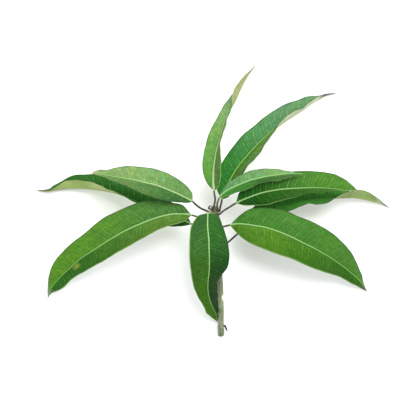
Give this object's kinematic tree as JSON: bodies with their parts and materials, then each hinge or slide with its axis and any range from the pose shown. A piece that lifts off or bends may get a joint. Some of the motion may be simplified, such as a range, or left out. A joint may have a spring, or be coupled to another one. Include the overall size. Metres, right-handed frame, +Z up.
{
  "type": "bunch of mango leaves",
  "caption": "Cut leafy mango twig lying on a table: long pointed folded leaves on thin stalks spread round the tip of a woody stem, with a bud and a stalk stump.",
  "frame": {"origin": "middle of the bounding box's footprint, on the surface that the sprig lies on", "axes": "+Z up; the twig runs along Y with its cut end towards -Y and its tip near the origin; the leaves spread to both X sides and towards +Y"},
  "size_m": [0.4326, 0.3314, 0.0837],
  "materials": {
    "stem": "matt green bark",
    "terminal_bud": "dry bud scales",
    "stalk_stump": "dry stalk",
    "leaf_top_left": "waxy leaf, satin",
    "leaf_top_right": "waxy leaf, satin",
    "leaf_right_small": "waxy leaf, satin",
    "leaf_right_upper": "waxy leaf, satin",
    "leaf_right_under": "waxy leaf, satin",
    "leaf_left_small": "waxy leaf, satin",
    "leaf_left_under": "waxy leaf, satin",
    "leaf_left_lower": "waxy leaf, satin",
    "leaf_right_lower": "waxy leaf, satin",
    "leaf_over_stem": "waxy leaf, satin"
  },
  "bodies": {
    "root": {"stem": "stem", "terminal_bud": "terminal_bud", "stalk_stump": "stalk_stump", "leaf_top_left": "leaf_top_left", "leaf_top_right": "leaf_top_right", "leaf_right_small": "leaf_right_small", "leaf_right_upper": "leaf_right_upper", "leaf_right_under": "leaf_right_under", "leaf_left_small": "leaf_left_small", "leaf_left_under": "leaf_left_under", "leaf_left_lower": "leaf_left_lower", "leaf_right_lower": "leaf_right_lower", "leaf_over_stem": "leaf_over_stem"}
  },
  "joints": []
}
